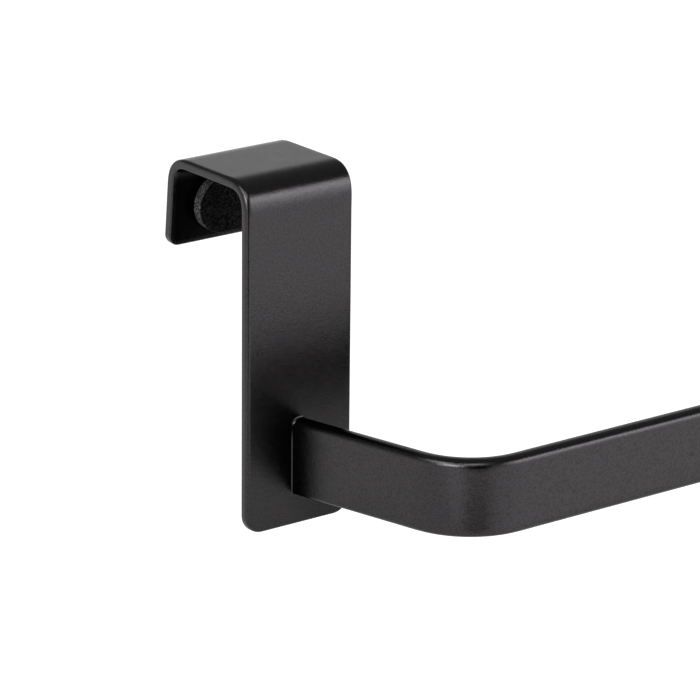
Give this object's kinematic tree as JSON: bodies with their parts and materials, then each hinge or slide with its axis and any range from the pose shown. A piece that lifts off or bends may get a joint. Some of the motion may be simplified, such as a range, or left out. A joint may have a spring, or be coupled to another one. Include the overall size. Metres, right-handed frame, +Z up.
{
  "type": "over-door towel bar",
  "caption": "Black powder-coated steel towel bar: a flat bar bent into a shallow bracket, welded to bent strip hooks that go over the top of a cabinet door, with foam discs.",
  "frame": {"origin": "midway between the hooks, at the height of the undersides of their tops (the door's top edge), in line with the backs of the hooks' front plates", "axes": "+X along the bar, +Y from the room through the door to its back, +Z up"},
  "size_m": [0.25, 0.0695, 0.0707],
  "materials": {
    "black_powder_coat": "satin black powder coat, fine even grain",
    "black_foam": "matt open-pored foam"
  },
  "bodies": {
    "root": {"left_hook": "black_powder_coat", "left_weld": "black_powder_coat", "left_lip_pad": "black_foam", "left_plate_pad": "black_foam", "right_hook": "black_powder_coat", "right_weld": "black_powder_coat", "right_lip_pad": "black_foam", "right_plate_pad": "black_foam", "towel_bar": "black_powder_coat"}
  },
  "joints": []
}
